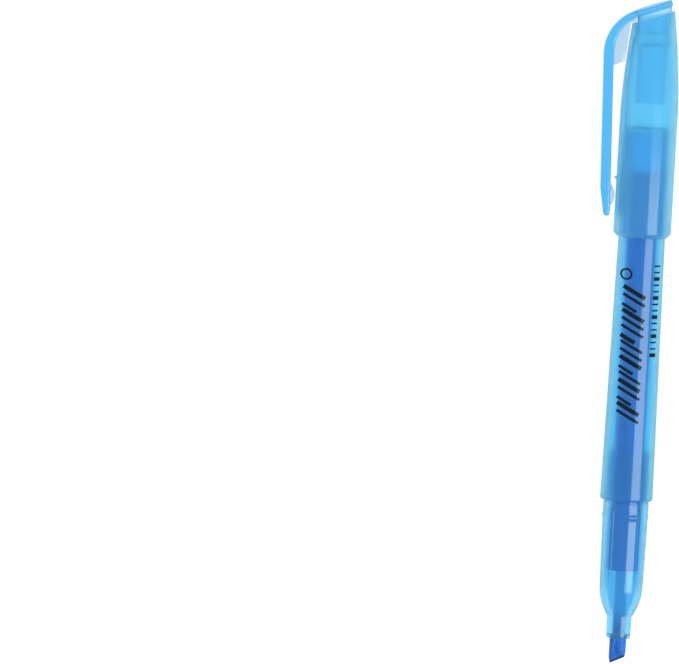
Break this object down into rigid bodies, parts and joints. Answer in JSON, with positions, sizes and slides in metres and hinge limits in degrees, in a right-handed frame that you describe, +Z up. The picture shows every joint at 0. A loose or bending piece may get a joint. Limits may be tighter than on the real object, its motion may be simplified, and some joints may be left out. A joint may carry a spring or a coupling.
{
  "type": "capped highlighter pen",
  "caption": "Clear blue chisel-tip highlighter pen with a pull-off frosted cap and pocket clip, lying on its side with the cap posted on the rear.",
  "frame": {"origin": "on the table, under the middle of the pen's bounding box", "axes": "+X along the pen towards the nib, the clip on the -Y side, +Z up; the pen has rolled on to its clip"},
  "size_m": [0.1394, 0.0162, 0.012],
  "materials": {
    "barrel": "clear glossy blue-tinted moulding",
    "front_section": "clear glossy blue-tinted moulding",
    "nib": "porous, soaked with ink",
    "ink_reservoir": "fibre bundle soaked with ink",
    "reservoir_sleeve": "thin clear film",
    "cap_shell": "milky, satin outside",
    "inner_cap": "milky, satin",
    "clip": "translucent, satin gloss"
  },
  "bodies": {
    "pen": {"barrel": "barrel", "front_section": "front_section", "nib": "nib", "ink_reservoir": "ink_reservoir", "reservoir_sleeve": "reservoir_sleeve"},
    "cap": {"cap_shell": "cap_shell", "inner_cap": "inner_cap", "clip_root": "clip"},
    "clip": {"clip_arm": "clip"}
  },
  "joints": [
    {"name": "cap_slide", "type": "slide", "parent": "pen", "child": "cap", "axis": [-1, 0, 0], "range_m": [0, 0.034]},
    {"name": "clip_flex", "type": "hinge", "parent": "cap", "child": "clip", "pos_m": [-0.0552, -0.0062, 0.00246], "axis": [0, 0.3914, -0.9202], "range_deg": [0, 5], "stiffness_Nm_per_rad": 2.5}
  ]
}
